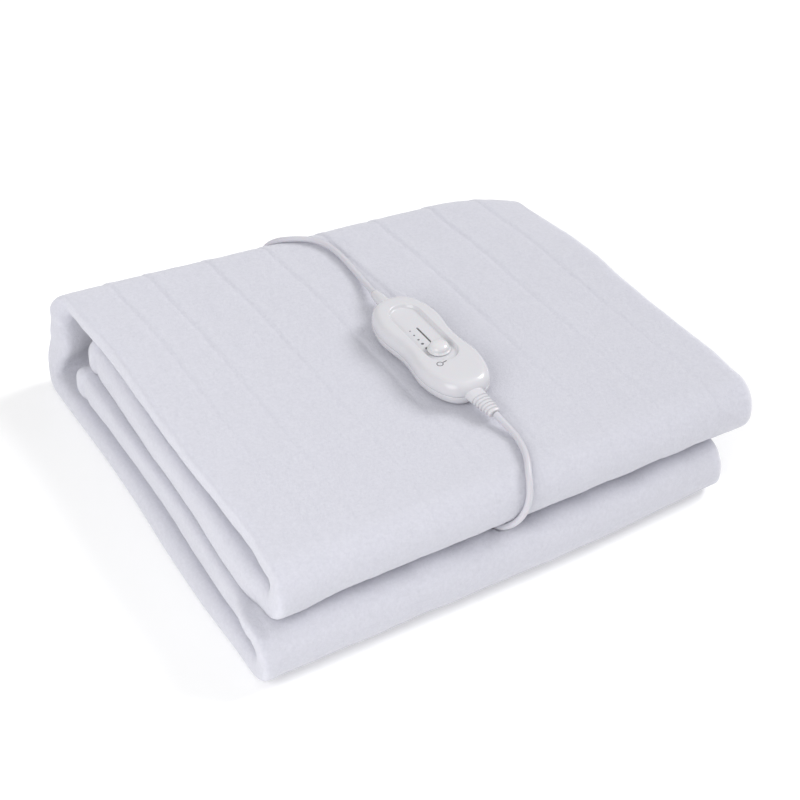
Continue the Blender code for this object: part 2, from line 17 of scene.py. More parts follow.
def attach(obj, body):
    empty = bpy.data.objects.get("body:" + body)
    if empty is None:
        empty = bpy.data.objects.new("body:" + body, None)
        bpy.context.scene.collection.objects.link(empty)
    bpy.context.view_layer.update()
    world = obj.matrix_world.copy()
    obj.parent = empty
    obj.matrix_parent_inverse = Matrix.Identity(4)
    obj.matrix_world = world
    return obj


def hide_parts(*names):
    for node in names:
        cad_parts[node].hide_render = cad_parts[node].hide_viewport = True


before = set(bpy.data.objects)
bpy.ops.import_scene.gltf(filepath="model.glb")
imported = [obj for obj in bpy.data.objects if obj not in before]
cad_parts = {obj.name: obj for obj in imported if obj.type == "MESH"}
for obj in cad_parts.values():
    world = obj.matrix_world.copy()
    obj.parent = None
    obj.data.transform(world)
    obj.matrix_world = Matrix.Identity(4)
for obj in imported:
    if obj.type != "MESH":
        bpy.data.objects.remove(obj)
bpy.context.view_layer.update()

MM = 0.001
PACK, SLIDER = "pack", "slider"              # the two bodies: everything, and the knob that slides
ORIGIN = Vector((4.34, -9.95, 0.0)) * MM     # from the place where the folds were laid out


# %% [markdown]
# ## The camera
#
# A product picture of a flat pack is taken from above and from one corner, with a fairly long lens, so
# that its edges run nearly parallel. The camera looks down by 38.5 degrees and is turned 30.4 degrees
# to the right of straight ahead. It is placed from those two angles and a distance, which is easier to
# adjust than a location and three rotations.

# %% Camera
LOOK_AT = Vector((24.0, 40.0, 0.0)) * MM + ORIGIN
TURN, DOWN = math.radians(30.4), math.radians(38.5)
DISTANCE = 1.3586
LENS, SENSOR = 75.6, 36.0          # in mm
CLIP_NEAR, CLIP_FAR = 0.05, 30.0


def put_in_scene(name, data):
    """An object that shows a mesh, a curve, a camera or a lamp."""
    made = bpy.data.objects.new(name, data)
    bpy.context.scene.collection.objects.link(made)
    return made


def aim(name, data, place, direction):
    """A camera or a lamp at a place, turned to look in a direction."""
    made = put_in_scene(name, data)
    made.location = place
    made.rotation_mode = "QUATERNION"
    made.rotation_quaternion = direction.to_track_quat("-Z", "Y")
    return made


forward = Vector((math.sin(TURN) * math.cos(DOWN), math.cos(TURN) * math.cos(DOWN), -math.sin(DOWN)))
camera_data = bpy.data.cameras.new("camera")
camera_data.lens = LENS
camera_data.sensor_width = SENSOR
camera_data.clip_start, camera_data.clip_end = CLIP_NEAR, CLIP_FAR
camera = aim("camera", camera_data, LOOK_AT - forward * DISTANCE, forward)
bpy.context.scene.camera = camera
print("camera at", [round(value, 3) for value in camera.location])

# %% [markdown]
# ## Building materials from nodes
#
# Each finish starts from the Principled shader. Numbers that are the same everywhere are set on the
# shader itself, and only what changes over the surface, such as grain, comes through nodes. All the
# patterns use the object's own coordinates in metres, so a scale of 800 means a grain of about 1.2 mm.

# %% A finish
def shader_of(made):
    return made.node_tree.nodes["Principled BSDF"]


def new_finish(name, colour, roughness, **settings):
    """A material with a Principled shader; settings are its other sockets, with _ for a space."""
    made = bpy.data.materials.new(name)
    made.use_nodes = True
    shader = shader_of(made)
    shader.inputs["Base Color"].default_value = (*colour, 1.0)
    shader.inputs["Roughness"].default_value = roughness
    for socket, value in settings.items():
        shader.inputs[socket.replace("_", " ")].default_value = value
    return made


# %% Grain, bumps and tones
def add_node(made, kind, **values):
    """A node with some of its sockets set."""
    node = made.node_tree.nodes.new(kind)
    for socket, value in values.items():
        node.inputs[socket].default_value = value
    return node


def grain(made, scale, detail=2.0, roughness=0.6, stretch=(1.0, 1.0, 1.0)):
    """A noise pattern in metres; its Fac output runs from 0 to 1."""
    place = add_node(made, "ShaderNodeTexCoord")
    mapping = add_node(made, "ShaderNodeMapping", Scale=stretch)
    pattern = add_node(made, "ShaderNodeTexNoise", Scale=scale, Detail=detail, Roughness=roughness)
    made.node_tree.links.new(place.outputs["Object"], mapping.inputs["Vector"])
    made.node_tree.links.new(mapping.outputs["Vector"], pattern.inputs["Vector"])
    return pattern


def add_bumps(made, *layers):
    """Stack bump layers: each is (noise pattern, depth in metres, strength)."""
    links = made.node_tree.links
    last = None
    for pattern, depth, strength in layers:
        bump = add_node(made, "ShaderNodeBump", Strength=strength, Distance=depth)
        links.new(pattern.outputs["Fac"], bump.inputs["Height"])
        if last is not None:
            links.new(last.outputs["Normal"], bump.inputs["Normal"])
        last = bump
    links.new(last.outputs["Normal"], shader_of(made).inputs["Normal"])


def vary_colour(made, pattern, stops):
    """Let the base colour wander between two close tones; stops are (share of the pattern, colour)."""
    ramp = add_node(made, "ShaderNodeValToRGB")
    for element, (position, colour) in zip(ramp.color_ramp.elements, stops):
        element.position, element.color = position, (*colour, 1.0)
    links = made.node_tree.links
    links.new(pattern.outputs["Fac"], ramp.inputs["Fac"])
    links.new(ramp.outputs["Color"], shader_of(made).inputs["Base Color"])


# %% [markdown]
# ## The fleece
#
# Brushed polyester fleece is a knitted cloth whose surface has been raised into a short, matted nap. It
# has no gloss, but the nap catches light at grazing angles, which the sheen layer gives. Three sizes of
# relief make the surface: the fibre grain, the matting of the nap into small flecks, and slow lumps
# where the filling moved. Real strands of hair would be truer along the outline, but a cloth of this size
# would need millions. A little light also travels through the fibres, so shadows stay soft.

# %% Fleece material
FLEECE_DARK, FLEECE_LIGHT = (0.565, 0.566, 0.624), (0.622, 0.622, 0.682)
fleece = new_finish("white_fleece", FLEECE_LIGHT, 0.96, Specular_IOR_Level=0.12, Sheen_Weight=0.28,
                    Sheen_Roughness=0.45, Sheen_Tint=(0.96, 0.96, 1.0, 1.0), Subsurface_Weight=0.45,
                    Subsurface_Scale=0.009, Subsurface_Radius=(1.0, 1.0, 1.0))
fibres = grain(fleece, scale=1500.0, detail=5.0, roughness=0.75)
flecks = grain(fleece, scale=420.0, detail=4.0, roughness=0.65, stretch=(1.0, 0.55, 1.0))
lumps = grain(fleece, scale=60.0, roughness=0.5)
mottle = grain(fleece, scale=380.0, detail=6.0, roughness=0.78)
vary_colour(fleece, mottle, [(0.32, FLEECE_DARK), (0.62, FLEECE_LIGHT)])
add_bumps(fleece, (lumps, 0.0015, 0.30), (flecks, 0.0008, 0.55), (fibres, 0.0004, 0.8))
print("nodes in the fleece's material:", len(fleece.node_tree.nodes))

# %% [markdown]
# ## The plastics and the metal
#
# The controller is injection-moulded white plastic: glossy, but never a perfect mirror, because the
# mould leaves a very faint waviness. A shallow bump does the same here: it can't be seen by itself, but
# it breaks up the highlights. The cable sheath is softer and more satin. The plug's pins are nickel
# plated, and the marks on the controller are thin grey ink.

# %% Plastic, sheath, pin and ink materials
shell_plastic = new_finish("controller_plastic", (0.630, 0.626, 0.657), 0.27, IOR=1.49, Coat_Weight=0.25,
                           Coat_Roughness=0.12, Subsurface_Weight=0.06, Subsurface_Scale=0.003)
add_bumps(shell_plastic, (grain(shell_plastic, 90.0), 0.0004, 0.06),
          (grain(shell_plastic, 2600.0), 0.00003, 0.25))
knob_plastic = new_finish("knob_plastic", (0.660, 0.658, 0.680), 0.22, IOR=1.49, Coat_Weight=0.3,
                          Coat_Roughness=0.1, Subsurface_Weight=0.08, Subsurface_Scale=0.003)
add_bumps(knob_plastic, (grain(knob_plastic, 2200.0), 0.00003, 0.2))
sheath = new_finish("cable_sheath", (0.580, 0.574, 0.620), 0.42, IOR=1.48, Subsurface_Weight=0.08,
                    Subsurface_Scale=0.003)
add_bumps(sheath, (grain(sheath, 1400.0, detail=3.0), 0.00006, 0.4))
pin_metal = new_finish("pin_nickel", (0.72, 0.71, 0.69), 0.24, Metallic=1.0)
add_bumps(pin_metal, (grain(pin_metal, 900.0, roughness=0.5, stretch=(0.1, 1.0, 1.0)), 0.00005, 0.3))
ink = new_finish("grey_ink", (0.13, 0.13, 0.14), 0.5)
add_bumps(ink, (grain(ink, 2500.0), 0.00002, 0.3))
# Painted shade: a dark sheet a little way down the slit stands in for the shade inside its opening.
slit_painted_shade = new_finish("slit_shadow", (0.20, 0.195, 0.185), 0.7)
add_bumps(slit_painted_shade, (grain(slit_painted_shade, 1500.0), 0.00003, 0.3))
print("materials:", len(bpy.data.materials))

# %% [markdown]
# ## Turning points into pieces
#
# Most pieces here are lofts: a row of closed rings, each with the same number of points, joined by
# quads and closed at both ends. A hoop, such as a strap, comes back to its first ring instead. A small
# helper makes the object, shades it smoothly, ties it to the body that it moves with, and hides the
# solids it stands for. Rings say exactly where a contour runs, which boxes with modifiers don't.

# %% Piece helpers
def smooth_step(value, low, high):
    """0 below low, 1 above high, and a soft rise between them."""
    share = min(1.0, max(0.0, (value - low) / (high - low)))
    return share * share * (3 - 2 * share)


def add_piece(name, bm, finish, nodes=(), body=PACK, sharp=40, place=(0, 0, 0)):
    """Make an object from a bmesh, tie it to its body and hide the solids it stands for."""
    bmesh.ops.recalc_face_normals(bm, faces=bm.faces)
    bmesh.ops.translate(bm, vec=Vector(place), verts=bm.verts)
    mesh = bpy.data.meshes.new(name)
    bm.to_mesh(mesh)
    bm.free()
    mesh.shade_smooth()
    mesh.set_sharp_from_angle(angle=math.radians(sharp))
    mesh.materials.append(finish)
    piece = put_in_scene(name, mesh)
    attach(piece, body)
    if nodes:
        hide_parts(*nodes)
    print(f"{name}: {len(mesh.polygons)} faces")
    return piece


# %% Joining rings
def join_rings(bm, rings, hoop=False):
    """Join rings of equal length with quads, then close the hoop or the two ends."""
    made = [[bm.verts.new(spot) for spot in ring] for ring in rings]
    for near, far in zip(made, made[1:] + made[:1] if hoop else made[1:]):
        for index in range(len(near)):
            after = (index + 1) % len(near)
            bm.faces.new((near[index], near[after], far[after], far[index]))
    if not hoop:
        bm.faces.new(made[0])
        bm.faces.new(made[-1])


def loft(rings, hoop=False):
    bm = bmesh.new()
    join_rings(bm, rings, hoop)
    return bm


def angles(count):
    """So many even angles round a full turn."""
    return [2 * math.pi * step / count for step in range(count)]


def signed_power(value, power):
    """A cosine or sine raised to a power with its sign kept: under 1, it squares a circle off."""
    return math.copysign(abs(value) ** power, value)


# %% [markdown]
# ## The leads
#
# A lead is a fixed length of something flexible. The lead to the blanket leaves the near end of the
# controller, drops onto the cloth, runs over the front roll and goes into the gap between the two
# halves of the pack. The other lead is 1.6 m long: it crosses the top, goes over the back edge and down,
# and its spare length lies behind the pack in a neat tied coil, beside its plug. Both follow a few
# listed points, with a smooth curve drawn through them, because straight runs and arcs would look
# like bent wire.

# %% Routes
CORD_D, LEAD_SPACING = 4.8 * MM, 5.0 * MM
BLANKET_ROUTE = (                 # from the near relief's tip into the cloth, in mm
    (12.9, -112.8, 96.7), (14.1, -120.8, 94.6), (14.8, -129.0, 93.2), (14.5, -137.0, 92.7),
    (12.8, -146.0, 92.6), (10.0, -155.0, 92.6), (6.4, -163.4, 91.9), (2.6, -170.5, 89.8),
    (-0.6, -177.5, 84.0), (-3.6, -181.9, 75.9), (-7.0, -182.6, 67.0), (-10.8, -180.0, 58.4),
    (-14.9, -174.4, 51.0), (-19.2, -164.9, 45.8), (-22.3, -151.0, 44.5), (-23.6, -135.0, 44.4),
    (-24.4, -115.0, 44.3), (-25.2, -95.0, 44.3), (-26.8, -72.0, 44.4), (-30.0, -48.0, 44.4),
    (-34.6, -26.0, 44.4), (-38.0, -12.0, 44.3), (-38.0, 0.0, 44.3))
MAINS_ROUTE = (                   # from the far relief's tip to the coil, in mm
    (12.9, 60.8, 96.7), (14.4, 70.0, 94.9), (15.9, 81.0, 93.3), (17.2, 94.0, 92.5),
    (18.2, 107.5, 92.1), (18.9, 120.0, 91.9), (18.9, 132.0, 91.8), (17.6, 143.0, 91.7),
    (14.2, 152.5, 91.6), (8.6, 160.5, 91.5), (1.6, 166.8, 90.8), (-5.4, 172.9, 89.3),
    (-11.6, 180.1, 85.8), (-16.4, 187.3, 79.2), (-20.0, 192.6, 69.7), (-23.4, 194.8, 56.0),
    (-27.4, 195.3, 41.0), (-32.6, 196.2, 26.5), (-41.0, 198.8, 12.8), (-51.0, 202.4, 5.2),
    (-63.5, 205.0, 2.9), (-75.2, 206.0, 2.7))
TAIL_ROUTE = (                    # from the coil to the plug, in mm
    (-75.2, 260.4, 2.7), (-64.0, 259.4, 2.7), (-53.0, 255.2, 2.7), (-43.5, 248.4, 2.8),
    (-34.0, 240.2, 3.2), (-24.0, 233.2, 4.0), (-14.0, 229.2, 4.9), (-5.3, 228.0, 5.5))
print("points laid by hand:", len(BLANKET_ROUTE) + len(MAINS_ROUTE) + len(TAIL_ROUTE))


# %% Walking evenly along a line
def between(first, last, share):
    """Part of the way from one spot, or one row of values, to another."""
    return tuple(low + (high - low) * share for low, high in zip(first, last))


def length_of(points):
    return sum(math.dist(here, after) for here, after in zip(points, points[1:]))


def evenly(points, count):
    """The same line cut into so many equal steps."""
    travelled = [0.0]
    for here, after in zip(points, points[1:]):
        travelled.append(travelled[-1] + math.dist(here, after))
    even, index = [], 0
    for step in range(count + 1):
        wanted = travelled[-1] * step / count
        while index < len(points) - 2 and travelled[index + 1] < wanted:
            index += 1
        share = (wanted - travelled[index]) / (travelled[index + 1] - travelled[index])
        even.append(between(points[index], points[index + 1], share))
    return even


# %% A smooth curve through a route
CURVE_STEPS = 16                  # between two points of a route


def smooth_route(points):
    """Evenly spaced points, in metres, along a smooth curve through a route's own points."""
    spots = [Vector(point) * MM + ORIGIN for point in points]
    ends = [2 * spots[0] - spots[1]] + spots + [2 * spots[-1] - spots[-2]]
    fine = []
    for first, here, after, last in zip(ends, ends[1:], ends[2:], ends[3:]):
        for step in range(CURVE_STEPS):
            t = step / CURVE_STEPS
            fine.append(0.5 * (2 * here + (after - first) * t
                               + (2 * first - 5 * here + 4 * after - last) * t * t
                               + (3 * here - first - 3 * after + last) * t ** 3))
    fine.append(spots[-1])
    return [Vector(spot) for spot in evenly(fine, round(length_of(fine) / LEAD_SPACING))]


blanket_points = smooth_route(BLANKET_ROUTE)
print("lead to the blanket:", round(length_of(blanket_points), 3), "m")

# %% [markdown]
# ### Winding the coil
#
# The coil is wound turn by turn. Every turn keeps to one place in the bundle's section, given as steps
# outwards and upwards, and moves to the next place slowly, over the last part of the turn. That way the
# turns lie beside and on each other, never pass through one another, and no bend is tight.

# %% Measures of the coil
COIL_CENTRE = Vector((-95.0, 234.0))          # in mm
COIL_R = 25.8
TURN_PITCH = 4.86
TURN_Z = 3.95                                 # height of the lowest turns
ENTRY_ANGLE, EXIT_ANGLE = -54.0, 54.0         # degrees; the lead winds clockwise
STEP_ACROSS = 150.0                           # degrees in which a turn changes its place
WOUND_FIRST, WOUND_SHORT = 24.0, 50.0         # degrees left free after the entry and before the exit
POINTS_PER_TURN = 18
TURN_PLACES = ((1, 0), (0, 0), (-1, 0), (-1, 1), (0, 1), (0, 2), (1, 2), (1, 1))    # out, up
print("turns begun:", len(TURN_PLACES))


# %% Coil turns
def at_coil(degrees, radius, height):
    """A point at an angle and a distance from the coil's middle, in mm."""
    angle = math.radians(degrees)
    return (COIL_CENTRE.x + radius * math.cos(angle), COIL_CENTRE.y + radius * math.sin(angle), height)


def coil_points():
    """Points round the coil, from just after the entry to just before the exit, in mm."""
    points = []
    last = len(TURN_PLACES) * 360.0 - EXIT_ANGLE + ENTRY_ANGLE - WOUND_SHORT
    count = round((last - WOUND_FIRST) / 360.0 * POINTS_PER_TURN)
    for step in range(count + 1):
        wound = WOUND_FIRST + (last - WOUND_FIRST) * step / count
        turn = int(wound // 360.0)
        here, after = TURN_PLACES[turn], TURN_PLACES[min(turn + 1, len(TURN_PLACES) - 1)]
        out, up = between(here, after, smooth_step(wound % 360.0, 360.0 - STEP_ACROSS, 360.0))
        points.append(at_coil(ENTRY_ANGLE - wound, COIL_R + TURN_PITCH * out, TURN_Z + TURN_PITCH * up))
    return points


wound_points = coil_points()
LEAVE_COIL = ((88.0, 31.8, 7.6), (70.0, 33.0, 5.0))   # angle, radius, height where the tail drops
WHOLE_ROUTE = (*MAINS_ROUTE, *wound_points, *(at_coil(*place) for place in LEAVE_COIL), *TAIL_ROUTE)
print("coil points:", len(wound_points), "turns:", round((len(wound_points) - 1) / POINTS_PER_TURN, 2))


# %% Lead curves
def add_lead(name, points, nodes):
    """A round lead: one open spline with a bevel."""
    data = bpy.data.curves.new(name, "CURVE")
    data.dimensions = "3D"
    data.bevel_depth = CORD_D / 2
    data.bevel_resolution = 5
    data.use_fill_caps = True
    spline = data.splines.new("POLY")
    spline.points.add(len(points) - 1)
    for spot, point in zip(spline.points, points):
        spot.co = (*point, 1.0)
    spline.use_smooth = True
    data.materials.append(sheath)
    piece = put_in_scene(name, data)
    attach(piece, PACK)
    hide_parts(*nodes)
    print(f"{name}: {length_of(points):.3f} m, {len(points)} points")
    return piece


mains_points = smooth_route(WHOLE_ROUTE)
blanket_cable = add_lead("blanket_cable", blanket_points, ["blanket_lead"])
mains_cable = add_lead("mains_cable", mains_points, ["mains_lead", "cord_coil", "plug_lead"])

# %% [markdown]
# ## The folded cloth
#
# The blanket is 0.8 m wide and 1.5 m long. It is first folded in half along its length, so that a smooth
# fold lies at the left end of the pack and the two free edges at its right end. That doubled strip is
# then folded like a book cover whose ends are tucked in. A cloth simulation could fold it, but it would
# be slow, and hard to steer to one given pack. So the shape is one outline, the doubled strip seen from
# its open end, swept along a path of runs and turns. The table has one row for each run or turn. It says
# where the strip's two ends are, how much air is between its two plies, how strongly the wire channels
# show there, and how much the fold at the left end swells outwards and inwards. The swell is what lets
# thick fleece close the gaps between its layers.

# %% Measures of the folds
PLY = 8.0 * MM                    # one thickness of the lofted fleece
FOLD_GAP, LOOP_GAP, UPPER_FLAP_GAP, LOWER_FLAP_GAP = 2.0 * MM, 1.5 * MM, 6.0 * MM, 4.0 * MM
TOP_Z, UPPER_FLAP_Z, LOWER_FLAP_Z = 79.5 * MM, 57.9 * MM, 30.5 * MM
BOTTOM_Z = PLY + FOLD_GAP / 2
UPPER_LOOP_Y, UPPER_LOOP_R = -158.5 * MM, 12.5 * MM
LOWER_LOOP_Y, LOWER_LOOP_R = -164.3 * MM, 14.7 * MM    # full enough to meet the upper loop
MOUTH_DEPTH = 36.0 * MM           # how far behind the loops the flaps lie flat again
BACK_TURN_Y, BACK_TURN_R, TOP_SIDE_Y = 168.0 * MM, 15.0 * MM, 80.0 * MM
UPPER_HEM_Y, LOWER_HEM_Y, HEM = 137.0 * MM, 140.0 * MM, 16.0 * MM
HEM_BEAD, HEM_TIP, HEM_SEAM, SEAM_WIDTH = 1.3 * MM, 0.55, 1.0 * MM, 0.16 * HEM
TOP_RISE = 0.2                    # share of the rise to the top's own height right behind the roll
START = (-193.0, 204.0, UPPER_FLAP_GAP, 0.0, 3.0, 1.6)  # the strip at its upper hem, as in the table
print("height of the neat pack in mm:", round((TOP_Z + PLY + FOLD_GAP / 2) / MM, 1))


# %% The path of the folds
def run(start, end, steps):
    """Points from start to end in the Y-Z plane, without the last one."""
    return [start + (end - start) * (step / steps) for step in range(steps)]


def slope(start, end, steps):
    """The same with a soft S shape in height."""
    way = end - start
    return [Vector((start.x + way.x * step / steps, start.y + way.y * smooth_step(step / steps, 0, 1)))
            for step in range(steps)]


def turn(centre, radius, start_degrees, end_degrees, steps):
    """Points along an arc in the Y-Z plane, without the last one."""
    points = []
    for step in range(steps):
        angle = math.radians(start_degrees + (end_degrees - start_degrees) * step / steps)
        points.append(centre + radius * Vector((math.cos(angle), math.sin(angle))))
    return points


# %% The table of the folds
def fold_sections():
    """Rows of (points, left x, right x, air, ribs, swell outwards, swell inwards), both ends in mm."""
    upper_loop = Vector((UPPER_LOOP_Y, (UPPER_FLAP_Z + TOP_Z) / 2))
    lower_loop = Vector((LOWER_LOOP_Y, BOTTOM_Z + LOWER_LOOP_R))
    top_turn = Vector((BACK_TURN_Y, TOP_Z - BACK_TURN_R))
    low_turn = Vector((BACK_TURN_Y, BOTTOM_Z + BACK_TURN_R))
    hem, wall_x, depth = Vector((HEM, 0)), Vector((BACK_TURN_R, 0)), Vector((MOUTH_DEPTH, 0))
    wall_middle = (top_turn + low_turn) / 2 + wall_x
    upper_hem, lower_hem = Vector((UPPER_HEM_Y, UPPER_FLAP_Z)), Vector((LOWER_HEM_Y, LOWER_FLAP_Z))
    upper_mouth, top_front = upper_loop - Vector((0, UPPER_LOOP_R)), upper_loop + Vector((0, UPPER_LOOP_R))
    lower_mouth = lower_loop + Vector((0, LOWER_LOOP_R))
    top_near = top_front + Vector((MOUTH_DEPTH, TOP_RISE * (TOP_Z - top_front.y)))
    lower_flat = Vector((lower_mouth.x + MOUTH_DEPTH, LOWER_FLAP_Z))
    top_side, top_back = Vector((TOP_SIDE_Y, TOP_Z)), Vector((BACK_TURN_Y, TOP_Z))
    floor_back, floor_front = Vector((BACK_TURN_Y, BOTTOM_Z)), Vector((LOWER_LOOP_Y, BOTTOM_Z))
    return (
        (run(upper_hem, upper_hem - hem, 10), -194, 203, UPPER_FLAP_GAP, 0.0, 3.4, 1.0),
        (run(upper_hem - hem, upper_mouth + depth, 28), -200, 196, LOOP_GAP, 0.2, 5.8, 3.2),
        (run(upper_mouth + depth, upper_mouth, 9), -197, 193, LOOP_GAP, 0.2, 3.0, 2.4),
        (turn(upper_loop, UPPER_LOOP_R, 270, 90, 26), -193, 196, LOOP_GAP, 0.3, 0.6, 1.4),
        (run(top_front, top_near, 7), -191, 198, FOLD_GAP, 0.3, 0.3, 3.0),
        (run(top_near, top_side, 45), -190, 202, FOLD_GAP, 0.8, 0.0, 2.0),
        (run(top_side, top_back, 20), -194, 199, FOLD_GAP, 1.0, 0.0, 1.0),
        (turn(top_turn, BACK_TURN_R, 90, 0, 16), -203, 196, FOLD_GAP, 1.0, 0.0, 4.0),
        (run(top_turn + wall_x, wall_middle, 5), -206, 192, FOLD_GAP, 1.0, 0.0, 12.0),
        (run(wall_middle, low_turn + wall_x, 5), -209, 189, FOLD_GAP, 1.0, 0.0, 4.0),
        (turn(low_turn, BACK_TURN_R, 0, -90, 14), -212, 184, FOLD_GAP, 0.0, 0.0, 0.0),
        (run(floor_back, floor_front, 14), -213, 171, FOLD_GAP, 0.0, 0.0, 1.4),
        (turn(lower_loop, LOWER_LOOP_R, 270, 90, 28), -211, 169, LOOP_GAP, 0.3, 0.0, 1.0),
        (slope(lower_mouth, lower_flat, 12), -205, 172, LOWER_FLAP_GAP, 0.0, 2.4, 3.6),
        (run(lower_flat, lower_hem - hem, 28), -203, 176, LOWER_FLAP_GAP, 0.0, 4.4, 2.8),
        (run(lower_hem - hem, lower_hem, 10) + [lower_hem], -203, 177, LOWER_FLAP_GAP, 0.0, 3.2, 1.8),
    )


print("runs and turns:", len(fold_sections()))


# %% Rows along the path
def hem_share(distance):
    """Thickness of a ply over its normal one, at a distance from the nearer hem's tip."""
    tip = 1 - (1 - HEM_TIP) * (1 - smooth_step(distance, 0, HEM / 4))
    seam = HEM_SEAM / PLY * math.exp(-((distance - HEM) / SEAM_WIDTH) ** 2)
    return tip + HEM_BEAD / PLY * (1 - smooth_step(distance, HEM / 2, HEM)) - seam


def path_stations():
    """Rows of (point, normal, ply, distance travelled, and the six values of the table)."""
    rows, before = [], START
    for points, *after in fold_sections():
        rows += [(point, between(before, after, smooth_step(index / len(points), 0, 1)))
                 for index, point in enumerate(points)]
        before = after
    stations, travelled = [], 0.0
    for index, (point, values) in enumerate(rows):
        back, ahead = rows[max(index - 1, 0)][0], rows[min(index + 1, len(rows) - 1)][0]
        travelled += (point - back).length
        along = (ahead - back).normalized()
        from_hem = min((point - rows[0][0]).length, (point - rows[-1][0]).length)
        stations.append((point, Vector((-along.y, along.x)), PLY * hem_share(from_hem), travelled, values))
    return stations


STATIONS = path_stations()
print("path of the doubled strip:", round(STATIONS[-1][3], 3), "m in", len(STATIONS), "rows")

# %% [markdown]
# ### Across the strip
#
# Each row of the path carries the same outline: along the outer ply, round the long fold at the left,
# and back along the inner ply. The outer ply has points every few millimetres, because it shows, and
# closer ones at each wire channel, which is a soft ridge beside a fine stitched line. The fold itself
# is squared on the side of its outer ply, where other layers press on it, and nearly round on the other.

# %% Measures across the strip
RIB_OFFSETS = (38, 69, 119, 168, 218, 266, 315, 358)   # from the fold at the left end, in mm
RIB_HEIGHT, RIB_ASIDE, RIB_WIDTH = 0.60 * MM, 4.0, 3.4    # the ridge beside its line; widths in mm
RIB_LINE, LINE_WIDTH = 0.75 * MM, 2.0         # depth of the stitched line
RIB_STOPS = (-4.4, -2.6, -1.4, 0.0, 1.4, 3.4, 6.2)    # points at a channel, from its line, in mm
FIRST_OFFSET, POINT_GAP = 12.0, 4.6   # from the left end, and between other points, in mm
END_STEPS, FOLD_STEPS, INNER_STEPS = 5, 24, 22
INNER_SHORT = 4.0 * MM
OUTER_POWER, INNER_POWER = 0.50, 0.88     # 1 for a round fold, less for a squarer one
SWELL_REACH = (8.0 * MM, 62.0 * MM)   # how far from the fold its swell stays whole, and is gone
print("wire channels:", len(RIB_OFFSETS))


# %% Points across the strip
def outer_offsets():
    """Distances from the left end, in mm, at which the outer ply has points."""
    offsets = [FIRST_OFFSET]
    for offset in RIB_OFFSETS:
        for stop in RIB_STOPS:
            start, gap = offsets[-1], offset + stop - offsets[-1]
            pieces = max(1, round(gap / POINT_GAP))
            offsets += [start + gap * piece / pieces for piece in range(1, pieces + 1)]
    return offsets


def rib_relief(x, left):
    """Height of a wire channel's ridge over the cloth at x, below 0 in its stitched line."""
    beside = min(((x - left) / MM - offset for offset in RIB_OFFSETS), key=abs)
    return (RIB_HEIGHT * math.exp(-((beside - RIB_ASIDE) / RIB_WIDTH) ** 2)
            - RIB_LINE * math.exp(-(beside / LINE_WIDTH) ** 2))


OFFSETS = outer_offsets()
print("points along the outer ply:", len(OFFSETS) + END_STEPS)


def across(left, right):
    """Rows of (x, degrees round the fold); x is None on the fold itself."""
    last = left + OFFSETS[-1] * MM
    stations = [(right + (last - right) * step / END_STEPS, 90.0) for step in range(END_STEPS)]
    stations += [(left + offset * MM, 90.0) for offset in reversed(OFFSETS)]
    stations += [(None, 90 + 180 * step / FOLD_STEPS) for step in range(FOLD_STEPS + 1)]
    inner_right = right - INNER_SHORT
    return stations + [(left + (inner_right - left) * step / INNER_STEPS, 270.0)
                       for step in range(1, INNER_STEPS + 1)]


# %% [markdown]
# ### Settling
#
# A pack of cloth is never a neat block. Its back fold runs a little askew, its far right corner has sunk
# and is drawn forward, its lowest roll is drawn back at the right, and the layers wander at the two ends.
# One function moves every point of the neat fold to where it has settled, and it leaves the floor flat.

# %% Settle the neat fold
CORNER_DROP, CORNER_Y = 0.11, (20 * MM, 190 * MM)
BACK_SLANT, SLANT_PIVOT, SLANT_Y = 0.11, -36.0 * MM, (-60 * MM, 175 * MM)
RIGHT_PULL, RIGHT_END = 14.0 * MM, (130 * MM, 207 * MM)
WAVE, WAVE_LENGTH, WAVE_PHASE = 0.006, (47 * MM, 61 * MM), (1.1, -0.6)
DRAWN_BACK, DRAWN_X = 6.0 * MM, (40 * MM, 180 * MM)
DRAWN_Y, DRAWN_Z = (-190 * MM, -90 * MM), (20 * MM, 50 * MM)
STRAY, STRAY_LENGTH, STRAY_X = 1.2 * MM, (38 * MM, 17 * MM), (120 * MM, 200 * MM)


def settled(x, y, z):
    """Where a point of the neat fold has settled."""
    at_right = max(0.0, (x - RIGHT_END[0]) / (RIGHT_END[1] - RIGHT_END[0])) ** 2
    wave = math.sin(x / WAVE_LENGTH[0] + WAVE_PHASE[0]) * math.cos(y / WAVE_LENGTH[1] + WAVE_PHASE[1])
    scale = 1 - CORNER_DROP * at_right * smooth_step(y, *CORNER_Y) + WAVE * wave
    stray = STRAY * math.sin(y / STRAY_LENGTH[0] + z / STRAY_LENGTH[1]) * smooth_step(abs(x), *STRAY_X)
    low_roll = smooth_step(x, *DRAWN_X) * (1 - smooth_step(y, *DRAWN_Y)) * (1 - smooth_step(z, *DRAWN_Z))
    forward_pull = (BACK_SLANT * (x - SLANT_PIVOT) + RIGHT_PULL * at_right) * smooth_step(y, *SLANT_Y)
    return Vector((x + stray, y - forward_pull + DRAWN_BACK * low_roll, z * scale))


corner = settled(RIGHT_END[1], SLANT_Y[1], TOP_Z)
print("the far right corner sinks by", round((TOP_Z - corner.z) / MM, 1), "mm")


# %% [markdown]
# ### Small unevenness
#
# What makes cloth read as cloth is slow, shallow relief: lumps where the filling has moved, and puckers
# where a roll is pressed against the next layer. The relief is drawn in the cloth's own measures, how
# far along the strip and how far across, so that it belongs to the cloth and bends with its folds.

